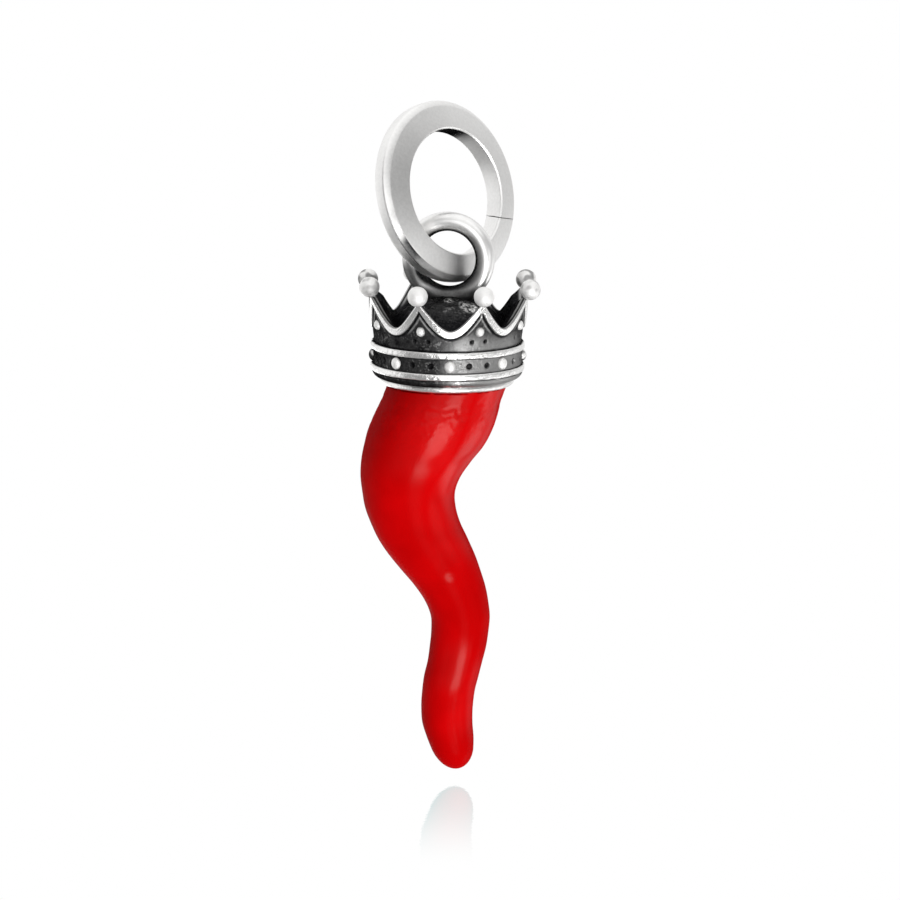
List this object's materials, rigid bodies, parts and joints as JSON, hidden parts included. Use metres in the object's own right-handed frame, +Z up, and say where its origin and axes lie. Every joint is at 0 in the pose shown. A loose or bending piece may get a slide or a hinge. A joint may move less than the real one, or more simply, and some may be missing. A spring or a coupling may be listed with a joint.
{
  "type": "cornicello horn pendant",
  "caption": "Glossy red twisted horn set in an oxidised silver crown cap with ball-tipped points, hung by a round wire loop from a thick flat-faced charm ring.",
  "frame": {"origin": "inside top of the charm ring's bore, where a chain, cord or clip carries the pendant", "axes": "+Z up, +X to the right and -Y towards the viewer of the front, as the pendant hangs"},
  "size_m": [0.0136, 0.0142, 0.0505],
  "materials": {
    "satin_silver": "satin silver, polished on its bevel and rim",
    "oxidised_silver": "cast silver, blackened in its hollows and polished on its edges, studs and balls",
    "red_enamel": "deep glossy red, faintly uneven near the cap"
  },
  "bodies": {
    "ring": {"charm_ring": "satin_silver"},
    "pendant": {"crown_cap": "oxidised_silver", "horn": "red_enamel"}
  },
  "joints": [
    {"name": "loop_on_ring", "type": "hinge", "parent": "ring", "child": "pendant", "pos_m": [0.00085, -0.00082, -0.00442], "axis": [0.6948, -0.671, 0.2588], "range_deg": [-130, 130]}
  ]
}
